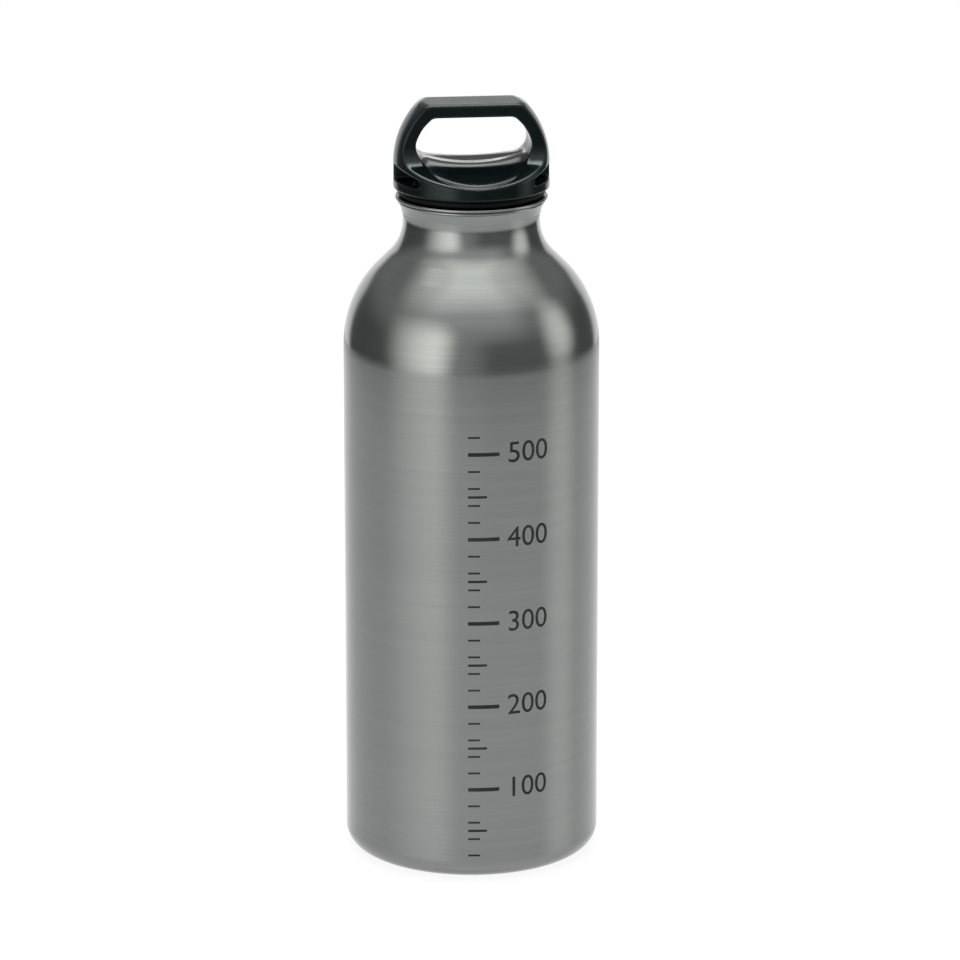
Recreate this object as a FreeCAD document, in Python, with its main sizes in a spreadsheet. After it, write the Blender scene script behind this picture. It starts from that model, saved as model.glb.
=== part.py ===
"""Camping fuel bottle: aluminium shell, loop-handle screw cap, threaded stopper and mouth seal.

Millimetres, +Z up. The origin is the middle of the base, the loop handle spans X and the front faces -Y.
The thread forms are left out: stopper and mouth are plain cylinders with a running clearance.
"""
import FreeCAD
import Part
import Sketcher

import math
import os
import re

# Driving dimensions, in millimetres and degrees.
SIZES = {
    # Bottle shell
    "body_diameter": 73.5,
    "body_straight_height": 151.9,
    "wall": 1.0,
    "base_wall": 1.6,
    "base_corner_radius": 6.1,
    "foot_ring_width": 3.2,
    "base_dome_height": 3.0,
    "shoulder_radius": 30.4,
    "shoulder_slope_degrees": 44.6,
    "neck_fillet_radius": 12.4,
    "neck_diameter": 39.16,
    "neck_length": 1.75,
    "neck_root_radius": 4.0,
    "collar_diameter": 43.0,
    "collar_flare_radius": 6.0,
    "collar_lip_radius": 0.95,
    "mouth_diameter": 35.0,
    "mouth_chamfer": 0.6,
    # Mouth seal, squeezed flat between the collar and the cap
    "seal_mean_diameter": 39.2,
    "seal_height": 2.4,
    "seal_flat_width": 0.4,
    # Cap shell: skirt and loop handle
    "cap_diameter": 44.6,
    "cap_height": 24.8,
    "skirt_side_height": 7.0,
    "loop_side_radius": 25.0,
    "loop_corner_radius": 3.0,
    "loop_width": 14.0,
    "foot_slope_degrees": 20.0,
    "foot_fillet_radius": 6.8,
    "rim_height": 3.7,
    "edge_round_radius": 0.9,
    "opening_width": 33.6,
    "opening_side_height": 10.8,
    "opening_side_radius": 12.6,
    "opening_top_height": 21.1,
    "opening_top_radius": 2.0,
    "saddle_corner_radius": 4.5,
    "saddle_crest_height": 7.2,
    "saddle_crest_radius": 48.0,
    "saddle_brow_reach": 7.6,
    "saddle_brow_height": 7.55,
    "saddle_brow_radius": 90.0,
    "saddle_foot_reach": 11.8,
    "saddle_foot_height": 6.15,
    "saddle_foot_radius": 72.0,
    "saddle_bed_reach": 15.5,
    "saddle_bed_height": 4.6,
    "saddle_bed_radius": 46.0,
    "saddle_mouth_height": 3.75,
    "saddle_mouth_radius": 25.0,
    "notch_inner_reach": 16.3,
    "notch_floor_height": 2.6,
    "notch_inner_ceiling": 4.9,
    "notch_outer_ceiling": 7.5,
    "notch_web": 2.0,
    "socket_diameter": 29.0,
    "socket_depth": 3.5,
    # Stopper
    "stopper_depth": 10.5,
    "stopper_wall": 2.5,
    "stopper_web": 2.4,
    "stopper_lead_chamfer": 0.8,
    "spigot_wall": 2.0,
    "vent_slot_width": 3.0,
    "vent_slot_height": 6.0,
    # Clearances
    "thread_clearance": 0.4,
    "seat_clearance": 0.3,
    "spigot_clearance": 0.1,
    "cut_overrun": 0.6,
}

doc = FreeCAD.newDocument("fuel_bottle")
sheet = doc.addObject("Spreadsheet::Sheet", "sizes")
for row, (alias, size) in enumerate(SIZES.items(), start=1):
    sheet.set(f"A{row}", alias)
    sheet.set(f"B{row}", str(size))
    sheet.setAlias(f"B{row}", alias)
doc.recompute()


def bound(rule):
    """Text of a rule with each size written as a cell of the sheet."""
    return re.sub(r"[a-z_]+", lambda name: f"sizes.{name[0]}" if name[0] in SIZES else name[0], rule)


def number(rule):
    """Value of a rule at the present sizes."""
    value = sheet.evalExpression(bound(rule))
    return getattr(value, "Value", value)


class Outline:
    """A sketch on a plane of its body, whose corners and radii are bound to rules in named sizes."""

    def __init__(self, body, plane, name, offset="0"):
        self.sketch = body.newObject("Sketcher::SketchObject", name)
        support = next(item for item in body.Origin.OriginFeatures if item.Role == plane)
        self.sketch.AttachmentSupport = [(support, "")]
        self.sketch.MapMode = "FlatFace"
        if offset != "0":
            self.sketch.setExpression("AttachmentOffset.Base.z", bound(offset))

    def line(self, start, end):
        return self.sketch.addGeometry(Part.LineSegment(vector(start), vector(end)), False)

    def arc(self, centre, radius, first, last):
        """Arc that runs anticlockwise from the direction of one point to that of another."""
        circle = Part.Circle(vector(centre), FreeCAD.Vector(0, 0, 1), radius)
        angles = [math.atan2(point[1] - centre[1], point[0] - centre[0]) for point in (first, last)]
        return self.sketch.addGeometry(Part.ArcOfCircle(circle, *angles), False)

    def circle(self, rule):
        """Circle about the origin with a bound radius."""
        index = self.sketch.addGeometry(
            Part.Circle(FreeCAD.Vector(), FreeCAD.Vector(0, 0, 1), number(rule)), False)
        self.relate("Coincident", index, 3, -1, 1)
        self.hold("Radius", (index,), rule)

    def relate(self, kind, *references):
        self.sketch.addConstraint(Sketcher.Constraint(kind, *references))

    def hold(self, kind, references, rule):
        """Dimension that follows a rule."""
        index = self.sketch.addConstraint(Sketcher.Constraint(kind, *references, number(rule)))
        self.sketch.setExpression(f"Constraints[{index}]", bound(rule))

    def pin(self, geometry, position, across, up):
        """Bind a point to its distances from the sketch's two axes."""
        for kind, rule, axis in (("DistanceX", across, -2), ("DistanceY", up, -1)):
            distance = number(rule)
            if distance == 0:
                self.relate("PointOnObject", geometry, position, axis)
            elif distance > 0:
                self.hold(kind, (-1, 1, geometry, position), rule)
            else:
                self.hold(kind, (geometry, position, -1, 1), f"-({rule})")

    def trace(self, corners):
        """Closed outline: each corner is (across, up), with a radius rule if an arc leads to it.

        A radius starts with + where the arc turns left on the way and with - where it turns right.
        """
        places = [(number(corner[0]), number(corner[1])) for corner in corners]
        pieces = []
        for index, corner in enumerate(corners):
            start, end = places[index - 1], places[index]
            if len(corner) == 2:
                piece = self.line(start, end)
                pieces.append(((piece, 1), (piece, 2)))
                continue
            left = corner[2].startswith("+")
            radius = number(corner[2][1:])
            centre = arc_centre(start, end, radius, left)
            piece = self.arc(centre, radius, *((start, end) if left else (end, start)))
            self.hold("Radius", (piece,), corner[2][1:])
            pieces.append(((piece, 1), (piece, 2)) if left else ((piece, 2), (piece, 1)))
        for index, corner in enumerate(corners):
            self.relate("Coincident", *pieces[index - 1][1], *pieces[index][0])
            self.pin(*pieces[index][1], corner[0], corner[1])


def vector(point):
    return FreeCAD.Vector(point[0], point[1], 0)


def arc_centre(start, end, radius, left):
    """Centre of the shorter arc of a radius between two points."""
    across, up = end[0] - start[0], end[1] - start[1]
    chord = math.hypot(across, up)
    rise = math.sqrt(max(radius ** 2 - chord ** 2 / 4, 0)) * (1 if left else -1)
    return (start[0] + across / 2 - rise * up / chord, start[1] + up / 2 + rise * across / chord)


def inner_tangent_centre(first, first_radius, second, second_radius, radius):
    """Centre, on the right and lower side, of a circle that touches two circles from inside."""
    across, up = second[0] - first[0], second[1] - first[1]
    span = math.hypot(across, up)
    near, far = first_radius - radius, second_radius - radius
    along = (near ** 2 - far ** 2 + span ** 2) / (2 * span)
    aside = math.sqrt(near ** 2 - along ** 2)
    options = [(first[0] + (along * across + side * aside * up) / span,
                first[1] + (along * up - side * aside * across) / span) for side in (1, -1)]
    return max(options, key=lambda point: point[0] - point[1])


def new_body(name, height="0"):
    """Body of one piece, lifted to a height above the base plane."""
    body = doc.addObject("PartDesign::Body", name)
    body.Label = name
    if height != "0":
        body.setExpression("Placement.Base.z", bound(height))
    return body


def revolve(body, name, corners):
    """Full turn about Z of an outline drawn in the XZ plane."""
    outline = Outline(body, "XZ_Plane", f"{name}_outline")
    outline.trace(corners)
    feature = body.newObject("PartDesign::Revolution", name)
    feature.Profile = outline.sketch
    feature.ReferenceAxis = (outline.sketch, ["V_Axis"])
    feature.Angle = 360
    doc.recompute()


def cut(body, outline, name, length=None, both_sides=False, reverse=False):
    """Pocket that has to take material away."""
    before = body.Shape.Volume
    feature = body.newObject("PartDesign::Pocket", name)
    feature.Profile = outline.sketch
    if both_sides:
        feature.SideType = "Symmetric"
    feature.Reversed = reverse
    if length:
        feature.Type = "Length"
        feature.setExpression("Length", bound(length))
    else:
        feature.Type = "ThroughAll"
    doc.recompute()
    if body.Shape.Volume >= before:
        raise RuntimeError(f"{name} cuts nothing")


# Heights along the bottle, from the base plane to the mouth
SLOPE = "(shoulder_slope_degrees * 1 deg)"
SHOULDER_RUN = (f"(((body_diameter - neck_diameter) / 2 - (shoulder_radius + neck_fillet_radius)"
                f" * (1 - cos{SLOPE})) / sin{SLOPE})")
NECK_START = (f"(body_straight_height + (shoulder_radius + neck_fillet_radius) * sin{SLOPE}"
              f" + {SHOULDER_RUN} * cos{SLOPE})")
FLARE_REACH = "(neck_diameter / 2 + collar_flare_radius - collar_diameter / 2 + collar_lip_radius)"
FLARE_RISE = f"sqrt((collar_flare_radius + collar_lip_radius) ^ 2 - {FLARE_REACH} ^ 2)"
LIP_CENTRE = f"({NECK_START} + neck_length + {FLARE_RISE})"
LIP_SHARE = "(collar_lip_radius / (collar_flare_radius + collar_lip_radius))"
MOUTH_HEIGHT = f"({LIP_CENTRE} + collar_lip_radius)"
CAP_SEAT = f"({MOUTH_HEIGHT} + seal_height)"


def make_bottle_body():
    """One drawn shell: domed base, straight wall, shoulder, thick neck and rolled collar."""
    inner_radius = "(body_diameter / 2 - wall)"
    inner_corner = "(base_corner_radius - wall)"
    ring_outer = "(body_diameter / 2 - base_corner_radius)"
    ring_inner = f"({ring_outer} - foot_ring_width)"
    dome_radius = f"(({ring_inner} ^ 2 + base_dome_height ^ 2) / (2 * base_dome_height))"
    arc_start = f"(body_diameter / 2 - shoulder_radius * (1 - cos{SLOPE}))"
    arc_height = f"(body_straight_height + shoulder_radius * sin{SLOPE})"
    mouth_radius = "(mouth_diameter / 2)"
    root_along = f"(neck_root_radius * (1 - cos{SLOPE}))"
    root_height = (f"({arc_height} - wall * sin{SLOPE} + ({arc_start} - wall * cos{SLOPE} - {mouth_radius}"
                   f" - {root_along}) / tan{SLOPE})")
    body = new_body("bottle_body")
    revolve(body, "bottle_shell", [
        ("0", "base_dome_height"),
        (ring_inner, "0", f"-{dome_radius}"),
        (ring_outer, "0"),
        ("body_diameter / 2", "base_corner_radius", "+base_corner_radius"),
        ("body_diameter / 2", "body_straight_height"),
        (arc_start, arc_height, "+shoulder_radius"),
        (f"neck_diameter / 2 + neck_fillet_radius * (1 - cos{SLOPE})",
         f"{NECK_START} - neck_fillet_radius * sin{SLOPE}"),
        ("neck_diameter / 2", NECK_START, "-neck_fillet_radius"),
        ("neck_diameter / 2", f"{NECK_START} + neck_length"),
        (f"collar_diameter / 2 - collar_lip_radius + {FLARE_REACH} * {LIP_SHARE}",
         f"{LIP_CENTRE} - {FLARE_RISE} * {LIP_SHARE}", "-collar_flare_radius"),
        ("collar_diameter / 2 - collar_lip_radius", MOUTH_HEIGHT, "+collar_lip_radius"),
        (f"{mouth_radius} + mouth_chamfer", MOUTH_HEIGHT),
        (mouth_radius, f"{MOUTH_HEIGHT} - mouth_chamfer"),
        (mouth_radius, f"{root_height} + neck_root_radius * sin{SLOPE}"),
        (f"{mouth_radius} + {root_along}", root_height, "+neck_root_radius"),
        (f"{arc_start} - wall * cos{SLOPE}", f"{arc_height} - wall * sin{SLOPE}"),
        (inner_radius, "body_straight_height", "-(shoulder_radius - wall)"),
        (inner_radius, f"base_wall + {inner_corner}"),
        (f"{inner_radius} - {inner_corner}", "base_wall", f"-{inner_corner}"),
        (ring_inner, "base_wall"),
        ("0", "base_dome_height + base_wall", f"+{dome_radius}"),
    ])
    return body


def make_mouth_seal():
    """Rubber ring squeezed between the collar and the cap, with round flanks."""
    body = new_body("mouth_seal_ring", MOUTH_HEIGHT)
    inner = "(seal_mean_diameter - seal_flat_width) / 2"
    outer = "(seal_mean_diameter + seal_flat_width) / 2"
    middle = "seal_height / 2"
    revolve(body, "seal_section", [
        (outer, "0"),
        (f"{outer} + {middle}", middle, f"+({middle})"),
        (outer, "seal_height", f"+({middle})"),
        (inner, "seal_height"),
        (f"{inner} - {middle}", middle, f"+({middle})"),
        (inner, "0", f"+({middle})"),
    ])
    return body


def make_cap_shell():
    """Moulded cap: a round skirt that rises into a loop handle with a flared finger opening."""
    body = new_body("cap_shell", CAP_SEAT)
    corner_reach = ("(cap_diameter / 2 - loop_side_radius + sqrt((loop_side_radius - loop_corner_radius) ^ 2"
                    " - (cap_height - loop_corner_radius - skirt_side_height) ^ 2))")
    side_share = "(loop_side_radius / (loop_side_radius - loop_corner_radius))"
    side_centre = "(cap_diameter / 2 - loop_side_radius)"
    revolve(body, "cap_blank", [
        ("0", "0"),
        ("cap_diameter / 2", "0"),
        ("cap_diameter / 2", "skirt_side_height"),
        (f"{side_centre} + ({corner_reach} - {side_centre}) * {side_share}",
         f"skirt_side_height + (cap_height - loop_corner_radius - skirt_side_height) * {side_share}",
         "+loop_side_radius"),
        (corner_reach, "cap_height", "+loop_corner_radius"),
        ("0", "cap_height"),
    ])
    cut_loop_faces(body)
    round_loop_edges(body)
    cut_finger_opening(body)
    cut_foot_notches(body)
    socket = Outline(body, "XY_Plane", "socket_outline")
    socket.circle("socket_diameter / 2")
    cut(body, socket, "stopper_socket", "socket_depth", reverse=True)
    return body


def cut_loop_faces(body):
    """Flat front and back of the loop, running out over a fillet to the sloping rim."""
    slope = "(foot_slope_degrees * 1 deg)"
    face = "(loop_width / 2)"
    fillet_height = (f"(rim_height + tan{slope} * (cap_diameter / 2 - {face} - foot_fillet_radius)"
                     f" + foot_fillet_radius / cos{slope})")
    edge = "(cap_diameter / 2 + cut_overrun)"
    top = "cap_height + cut_overrun"
    outline = Outline(body, "YZ_Plane", "loop_face_outline")
    for side, turn in (("", "+"), ("-", "-")):
        outline.trace([
            (f"{side}{edge}", top),
            (f"{side}{face}", top),
            (f"{side}{face}", fillet_height),
            (f"{side}({face} + foot_fillet_radius * (1 - sin{slope}))",
             f"{fillet_height} - foot_fillet_radius * cos{slope}", f"{turn}foot_fillet_radius"),
            (f"{side}{edge}", f"rim_height - cut_overrun * tan{slope}"),
        ])
    cut(body, outline, "loop_faces", both_sides=True)


def round_loop_edges(body):
    """Round the edge where the front and back faces meet the round outside of the cap."""
    face = number("loop_width / 2")
    radius = number("cap_diameter / 2")
    straight = number("skirt_side_height")
    side_radius = number("loop_side_radius")
    seat = number(CAP_SEAT)
    corner_start = number("cap_height - loop_corner_radius")
    pick_share = 0.1
    tolerance = pick_share * number("edge_round_radius")
    names = []
    for index, edge in enumerate(body.Shape.Edges, start=1):
        middle = edge.valueAt((edge.FirstParameter + edge.LastParameter) / 2)
        height = middle.z - seat
        climb = max(height - straight, 0)
        outside = radius - side_radius + math.sqrt(max(side_radius ** 2 - climb ** 2, 0))
        on_outside = math.hypot(middle.x, middle.y) > outside - tolerance or height > corner_start
        on_face = abs(middle.y) > face - tolerance and height > tolerance
        if on_face and on_outside and not isinstance(edge.Curve, Part.Circle):
            names.append(f"Edge{index}")
    faces = body.Tip
    feature = body.newObject("PartDesign::Fillet", "loop_edge_round")
    feature.Base = (faces, names)
    feature.setExpression("Radius", bound("edge_round_radius"))
    doc.recompute()


def opening_section(body, name, place, floor, floor_radius):
    """Section of the finger opening across Y: flat top, curved legs and a cupped saddle floor."""
    outline = Outline(body, "XZ_Plane", name, place)
    side = number("opening_side_radius")
    side_reach = "(opening_width / 2 - opening_side_radius)"
    side_centre = (number(side_reach), number("opening_side_height"))
    corner = number("saddle_corner_radius")
    floor_centre = (0, number(f"{floor} + {floor_radius}"))
    low = inner_tangent_centre(side_centre, side, floor_centre, number(floor_radius), corner)
    top = number("opening_top_height")
    small = number("opening_top_radius")
    high_up = top - small
    high = (side_centre[0] + math.sqrt((side - small) ** 2 - (high_up - side_centre[1]) ** 2), high_up)
    sides = []
    for sign in (1, -1):
        centre, low_centre, high_centre = [(sign * x, z) for x, z in (side_centre, low, high)]
        low_touch = tangent_point(centre, low_centre, side)
        high_touch = tangent_point(centre, high_centre, side)
        floor_touch = tangent_point(floor_centre, low_centre, number(floor_radius))
        top_touch = (high_centre[0], top)
        order = 1 if sign > 0 else -1
        pieces = [outline.arc(low_centre, corner, *(floor_touch, low_touch)[::order]),
                  outline.arc(centre, side, *(low_touch, high_touch)[::order]),
                  outline.arc(high_centre, small, *(high_touch, top_touch)[::order])]
        start, end = (1, 2) if sign > 0 else (2, 1)
        outline.relate("Tangent", pieces[0], end, pieces[1], start)
        outline.relate("Tangent", pieces[1], end, pieces[2], start)
        for piece, rule in zip(pieces, ("saddle_corner_radius", "opening_side_radius", "opening_top_radius")):
            outline.hold("Radius", (piece,), rule)
        outline.pin(pieces[1], 3, side_reach if sign > 0 else f"-{side_reach}", "opening_side_height")
        sides.append((pieces, floor_touch, top_touch, start, end))
    (right, right_floor, right_top, first, last), (left, left_floor, left_top, left_first, left_last) = sides
    bed = outline.arc(floor_centre, number(floor_radius), left_floor, right_floor)
    outline.hold("Radius", (bed,), floor_radius)
    outline.pin(bed, 3, "0", f"{floor} + {floor_radius}")
    bar = outline.line(right_top, left_top)
    outline.relate("Tangent", bed, 2, right[0], first)
    outline.relate("Tangent", bed, 1, left[0], left_first)
    outline.relate("Tangent", bar, 1, right[2], last)
    outline.relate("Tangent", bar, 2, left[2], left_last)
    outline.relate("Horizontal", bar)
    outline.hold("DistanceY", (-1, 1, bar, 1), "opening_top_height")
    return outline.sketch


def tangent_point(outer, inner, radius):
    """Point where a circle touches, from inside, the circle of a radius about another centre."""
    across, up = inner[0] - outer[0], inner[1] - outer[1]
    span = math.hypot(across, up)
    return (outer[0] + across * radius / span, outer[1] + up * radius / span)


def cut_finger_opening(body):
    """Loft through sections that are low at the front and back rims and highest at the middle."""
    stations = [
        ("mouth", "cap_diameter / 2 + cut_overrun", "saddle_mouth_height", "saddle_mouth_radius"),
        ("bed", "saddle_bed_reach", "saddle_bed_height", "saddle_bed_radius"),
        ("foot", "saddle_foot_reach", "saddle_foot_height", "saddle_foot_radius"),
        ("brow", "saddle_brow_reach", "saddle_brow_height", "saddle_brow_radius"),
    ]
    front = [opening_section(body, f"front_{name}", place, floor, radius)
             for name, place, floor, radius in stations]
    crest = opening_section(body, "crest", "0", "saddle_crest_height", "saddle_crest_radius")
    back = [opening_section(body, f"back_{name}", f"-({place})", floor, radius)
            for name, place, floor, radius in reversed(stations)]
    sections = front + [crest] + back
    before = body.Shape.Volume
    doc.recompute()
    feature = body.newObject("PartDesign::SubtractiveLoft", "finger_opening")
    feature.Profile = sections[0]
    feature.Sections = [(section, [""]) for section in sections[1:]]
    doc.recompute()
    if body.Shape.Volume >= before:
        raise RuntimeError("finger_opening cuts nothing")


def cut_foot_notches(body):
    """Moulding recesses under both feet of the loop, left and right of a thin web."""
    edge = "(cap_diameter / 2 + cut_overrun)"
    for name, place, reverse in (("front", "notch_web / 2", True), ("back", "-notch_web / 2", False)):
        outline = Outline(body, "XZ_Plane", f"{name}_notch_outline", place)
        for side in ("", "-"):
            outline.trace([
                (f"{side}notch_inner_reach", "notch_floor_height"),
                (f"{side}{edge}", "notch_floor_height"),
                (f"{side}{edge}", "notch_outer_ceiling"),
                (f"{side}notch_inner_reach", "notch_inner_ceiling"),
            ])
        cut(body, outline, f"{name}_notches", reverse=reverse)


def make_cap_stopper():
    """Hollow threaded plug with a spigot for the cap's socket and a shoulder that centres the seal."""
    body = new_body("cap_stopper", CAP_SEAT)
    spigot_outer = "(socket_diameter / 2 - spigot_clearance)"
    spigot_inner = f"({spigot_outer} - spigot_wall)"
    shoulder = "((seal_mean_diameter - seal_flat_width - seal_height) / 2 - seat_clearance)"
    plug = "(mouth_diameter / 2 - thread_clearance)"
    bottom = "-(seal_height + stopper_depth)"
    bore = f"({plug} - stopper_wall)"
    revolve(body, "stopper_plug", [
        ("0", "0"),
        (spigot_inner, "0"),
        (spigot_inner, "socket_depth - spigot_clearance"),
        (spigot_outer, "socket_depth - spigot_clearance"),
        (spigot_outer, "0"),
        (shoulder, "0"),
        (shoulder, "-(seal_height - seat_clearance)"),
        (plug, "-(seal_height - seat_clearance)"),
        (plug, f"{bottom} + stopper_lead_chamfer"),
        (f"{plug} - stopper_lead_chamfer", bottom),
        (bore, bottom),
        (bore, "-stopper_web"),
        ("0", "-stopper_web"),
    ])
    slot = Outline(body, "XZ_Plane", "vent_slot_outline")
    slot.trace([
        ("-vent_slot_width / 2", f"{bottom} - cut_overrun"),
        ("vent_slot_width / 2", f"{bottom} - cut_overrun"),
        ("vent_slot_width / 2", f"{bottom} + vent_slot_height"),
        ("-vent_slot_width / 2", f"{bottom} + vent_slot_height"),
    ])
    cut(body, slot, "vent_slot")
    return body


pieces = [make_bottle_body(), make_mouth_seal(), make_cap_shell(), make_cap_stopper()]
doc.recompute()
for item in doc.Objects:
    if "Invalid" in item.State or "Error" in item.State:
        raise RuntimeError(f"{item.Name} failed: {item.State}")
os.makedirs("parts", exist_ok=True)
for piece in pieces:
    if piece.Shape.isNull() or not piece.Shape.isValid():
        raise RuntimeError(f"{piece.Label} has no sound shape")
for piece in pieces:
    piece.Shape.exportStep(f"parts/{piece.Label}.step")
    box = piece.Shape.BoundBox
    print(f"{piece.Label}: {len(piece.Shape.Solids)} solid, {piece.Shape.Volume:.1f} mm3, "
          f"z {box.ZMin:.2f} to {box.ZMax:.2f}, x {box.XMin:.2f} to {box.XMax:.2f}")
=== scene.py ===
"""Looks of a lacquered aluminium fuel bottle with a black loop-handle screw cap.

Everything is in metres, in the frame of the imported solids: the origin is the middle of the base, +Z is up
along the bottle's axis, the loop handle spans X and the front faces -Y. The sizes in the classes are in
millimetres.
"""
import logging
import math
from collections.abc import Callable, Iterable
from dataclasses import dataclass
from enum import Enum, IntEnum
from typing import Any

import bmesh
import bpy
from mathutils import Matrix, Vector


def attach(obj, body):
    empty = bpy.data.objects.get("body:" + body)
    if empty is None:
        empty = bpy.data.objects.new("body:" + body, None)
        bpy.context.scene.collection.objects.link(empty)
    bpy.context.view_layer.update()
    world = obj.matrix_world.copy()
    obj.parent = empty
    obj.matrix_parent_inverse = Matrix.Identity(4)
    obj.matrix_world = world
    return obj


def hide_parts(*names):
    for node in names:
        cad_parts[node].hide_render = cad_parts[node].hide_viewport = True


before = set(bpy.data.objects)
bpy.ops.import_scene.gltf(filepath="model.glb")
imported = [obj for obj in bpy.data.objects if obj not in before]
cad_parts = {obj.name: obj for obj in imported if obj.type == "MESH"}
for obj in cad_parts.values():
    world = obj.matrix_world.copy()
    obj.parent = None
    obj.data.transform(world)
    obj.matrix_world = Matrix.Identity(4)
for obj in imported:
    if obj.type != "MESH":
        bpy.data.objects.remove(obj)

LOG = logging.getLogger("fuel_bottle")
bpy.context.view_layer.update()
MM = 0.001
# Corners closer than this, in metres, are one corner.
MERGE = 1e-7
WHITE = (1.0, 1.0, 1.0, 1.0)
UNIT = (0.0, 1.0)
Colour = tuple[float, float, float]
Place = tuple[float, float, float]
Span = tuple[float, float]


class Body(Enum):
    """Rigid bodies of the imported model."""

    BOTTLE = "bottle"
    SEAL = "seal"
    CAP = "cap"


class Slot(Enum):
    """Material slots of the record."""

    SHELL = "shell"
    SEAL = "seal"
    CAP = "cap"
    STOPPER = "stopper"


class Bar(IntEnum):
    """Kinds of bar on the printed scale."""

    SHORT = 0
    HALF_WAY = 1
    NUMBERED = 2


class NodeSketch:
    """Places and joins shader nodes in one tree."""

    def __init__(self, tree: bpy.types.NodeTree) -> None:
        """Start with an empty tree."""
        self.tree = tree
        tree.nodes.clear()

    def add(self, kind: str, inputs: dict[Any, Any] | None = None, **settings: Any) -> bpy.types.Node:
        """Place a node.

        Args:
            kind: Node type without its "ShaderNode" prefix, or a full type name.
            inputs: Socket name or index to a value, or to an output that is linked to it.
            settings: Properties of the node.

        Returns:
            The node.
        """
        node = self.tree.nodes.new(kind if kind.startswith("Node") else f"ShaderNode{kind}")
        for name, value in settings.items():
            setattr(node, name, value)
        for key, value in (inputs or {}).items():
            if isinstance(value, bpy.types.NodeSocket):
                self.tree.links.new(value, node.inputs[key])
            else:
                node.inputs[key].default_value = value
        return node

    def math(self, operation: str, *values: Any) -> bpy.types.NodeSocket:
        """Give the result of Blender's math operation on numbers or outputs."""
        return self.add("Math", dict(enumerate(values)), operation=operation).outputs[0]

    def vector(self, operation: str, *values: Any) -> bpy.types.Node:
        """Give the node of Blender's vector operation on vectors or outputs."""
        return self.add("VectorMath", dict(enumerate(values)), operation=operation)

    def axes(self, place: bpy.types.NodeSocket) -> Any:
        """Give the X, Y and Z outputs of a place or direction."""
        return self.add("SeparateXYZ", {0: place}).outputs

    def on_object(self) -> bpy.types.NodeSocket:
        """Give the place on the object."""
        return self.add("TexCoord").outputs["Object"]

    def blend(self, share: Any, first: Colour, second: Colour) -> bpy.types.NodeSocket:
        """Mix two colours by the share of the second."""
        # Sockets 6 and 7 of a colour mix take the colours, and output 2 gives the result.
        node = self.add("Mix", {0: share, 6: (*first, 1.0), 7: (*second, 1.0)}, data_type="RGBA")
        return node.outputs[2]

    def between(self, share: Any, first: Any, second: Any) -> bpy.types.NodeSocket:
        """Mix two values by the share of the second, at sockets 2 and 3."""
        return self.add("Mix", {0: share, 2: first, 3: second}).outputs[0]

    def span(self, value: Any, reach: Span, start: float = 0.0, end: float = 1.0) -> bpy.types.NodeSocket:
        """Change smoothly from start to end while the value passes through its reach."""
        inputs = {"Value": value, "From Min": reach[0], "From Max": reach[1], "To Min": start, "To Max": end}
        return self.add("MapRange", inputs, interpolation_type="SMOOTHSTEP").outputs["Result"]

    def place(self, group: bpy.types.NodeTree, **values: float) -> Any:
        """Place a shared effect.

        Args:
            group: Node group of the effect.
            values: Its inputs.

        Returns:
            The outputs of the effect.
        """
        node = self.add("Group")
        node.node_tree = group
        for name, value in values.items():
            node.inputs[name].default_value = value
        return node.outputs


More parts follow.
